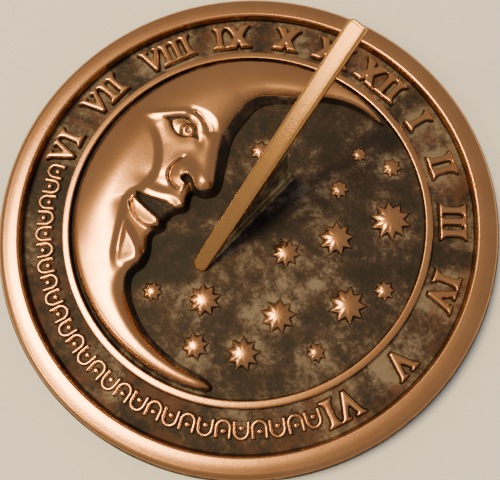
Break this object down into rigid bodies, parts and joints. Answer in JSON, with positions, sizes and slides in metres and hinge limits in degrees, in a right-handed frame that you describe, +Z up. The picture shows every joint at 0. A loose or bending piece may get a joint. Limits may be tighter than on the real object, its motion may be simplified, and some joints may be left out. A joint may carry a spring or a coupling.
{
  "type": "horizontal garden sundial",
  "caption": "Round cast garden sundial plate with raised Roman hour numerals, a crescent moon and stars in relief, and a fixed sloping gnomon.",
  "frame": {"origin": "centre of the plate's circle, on its underside, which lies on the pedestal", "axes": "+Z up out of the dial's face, +Y toward the noon numeral XII, +X toward the afternoon hours"},
  "size_m": [0.258, 0.258, 0.098],
  "materials": {
    "plate": "cast bronze, darkened and rubbed bright on its raised parts",
    "gnomon": "cast bronze, polished on the bar",
    "fastener": "plain steel"
  },
  "bodies": {
    "root": {"dial_plate": "plate", "gnomon": "gnomon", "gnomon_screws": "fastener", "screw_washers": "fastener"}
  },
  "joints": []
}
